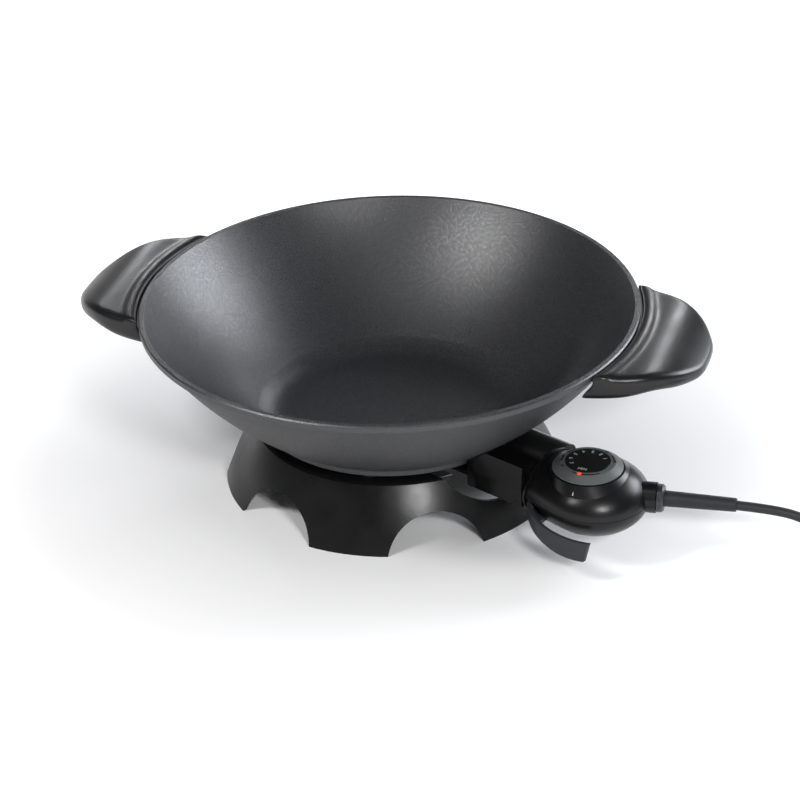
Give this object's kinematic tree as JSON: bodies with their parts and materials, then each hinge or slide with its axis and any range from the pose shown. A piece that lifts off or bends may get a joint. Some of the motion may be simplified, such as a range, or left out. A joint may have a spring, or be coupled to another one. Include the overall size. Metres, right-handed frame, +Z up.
{
  "type": "electric wok",
  "caption": "Electric wok: round cast bowl with side handles on an arched base, with a plug-in thermostat that has a dial, a release lever and a mains cord.",
  "frame": {"origin": "on the worktop, under the middle of the bowl", "axes": "+X towards the handle nearer the thermostat, along the line of the two handles; +Y away from the thermostat's side; +Z up out of the bowl"},
  "size_m": [0.6911, 0.3696, 0.1379],
  "materials": {
    "bowl_coating": "cast aluminium with a dark satin non-stick coat, finely speckled",
    "element_steel": "heat-darkened element sheath",
    "ceramic_white": "matt white ceramic",
    "pin_metal": "bright nickel plating",
    "block_plastic": "heat-resistant black moulding",
    "black_plastic": "satin black moulding",
    "shield_steel": "plain sheet steel",
    "screw_steel": "zinc-plated screws",
    "contact_metal": "plain brass",
    "probe_steel": "drawn stainless steel",
    "neon_glass": "small glass lamp",
    "lever_plastic": "dark grey satin moulding",
    "dial_plastic": "grey-green satin moulding",
    "dial_black": "black disc with printed white numbers",
    "lens_red": "clear red lens",
    "relief_rubber": "flexible dark grey sleeve",
    "cord_rubber": "dark grey flexible cord",
    "mains_plastic": "dark grey moulded plug"
  },
  "bodies": {
    "wok": {"wok_bowl": "bowl_coating", "heating_element": "element_steel", "insulator_beads": "ceramic_white", "terminal_pins": "pin_metal", "terminal_block": "block_plastic", "base_skirt": "black_plastic", "heat_shield": "shield_steel", "base_screws": "screw_steel", "left_handle": "black_plastic", "right_handle": "black_plastic", "handle_screws": "screw_steel", "connector_guard": "black_plastic", "guard_screws": "screw_steel"},
    "thermostat": {"housing_upper": "black_plastic", "housing_lower": "black_plastic", "housing_screws": "screw_steel", "plug_block": "block_plastic", "contact_sleeves": "contact_metal", "probe_tube": "probe_steel", "push_rod": "probe_steel", "switch_frame": "shield_steel", "spindle_bush": "contact_metal", "switch_stack": "ceramic_white", "switch_blades": "contact_metal", "neon_lamp": "neon_glass", "lever_pin": "probe_steel", "lever_spring": "probe_steel", "cord_gland": "black_plastic", "cord_clamp": "block_plastic", "clamp_screws": "screw_steel", "strain_relief": "relief_rubber", "cord_end": "cord_rubber", "cord_lead": "cord_rubber", "cord_coil": "cord_rubber", "cord_tail": "cord_rubber", "mains_body": "mains_plastic", "mains_pins": "pin_metal", "mains_clips": "contact_metal"},
    "dial": {"dial_knob": "dial_plastic", "dial_face": "dial_black", "lamp_lens": "lens_red", "dial_spindle": "probe_steel"},
    "lever": {"release_lever": "lever_plastic"}
  },
  "joints": [
    {"name": "thermostat_pull", "type": "slide", "parent": "wok", "child": "thermostat", "axis": [0.9135, -0.4067, 0], "range_m": [0, 0.1]},
    {"name": "dial_turn", "type": "hinge", "parent": "thermostat", "child": "dial", "pos_m": [0.16444, -0.07321, 0.072], "axis": [0, 0, 1], "range_deg": [-309, 0]},
    {"name": "lever_press", "type": "hinge", "parent": "thermostat", "child": "lever", "pos_m": [0.13803, -0.08335, 0.035], "axis": [0, 0, 1], "range_deg": [0, 8], "stiffness_Nm_per_rad": 1, "springref_deg": -5.73}
  ]
}
